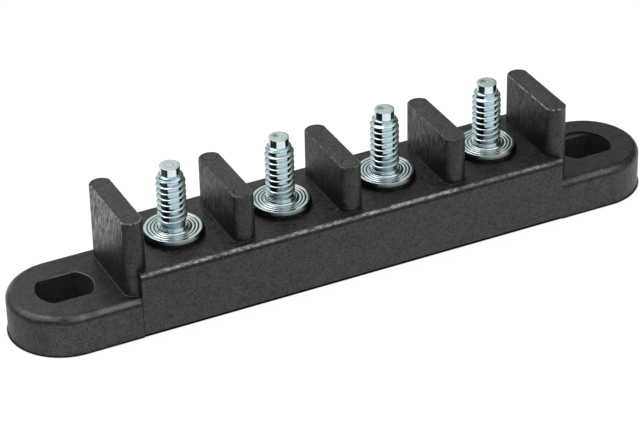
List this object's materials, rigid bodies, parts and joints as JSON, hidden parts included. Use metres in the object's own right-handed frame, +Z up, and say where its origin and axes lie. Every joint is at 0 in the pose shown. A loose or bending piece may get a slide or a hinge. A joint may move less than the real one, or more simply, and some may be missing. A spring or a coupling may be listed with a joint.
{
  "type": "terminal block",
  "caption": "Barrier terminal block: a moulded bar with upright walls between threaded studs on ridged flanges, and a slotted mounting ear at each end.",
  "frame": {"origin": "middle of the footprint, at the level the ears stand on", "axes": "+X along the row of studs, +Y across the bar, +Z up along the studs"},
  "size_m": [0.1142, 0.0186, 0.0243],
  "materials": {
    "moulding": "satin moulded black plastic, scuffed, with worn edges",
    "plated_steel": "bright zinc plate, slightly blue"
  },
  "bodies": {
    "root": {"housing": "moulding", "stud_1": "plated_steel", "stud_2": "plated_steel", "stud_3": "plated_steel", "stud_4": "plated_steel"}
  },
  "joints": []
}
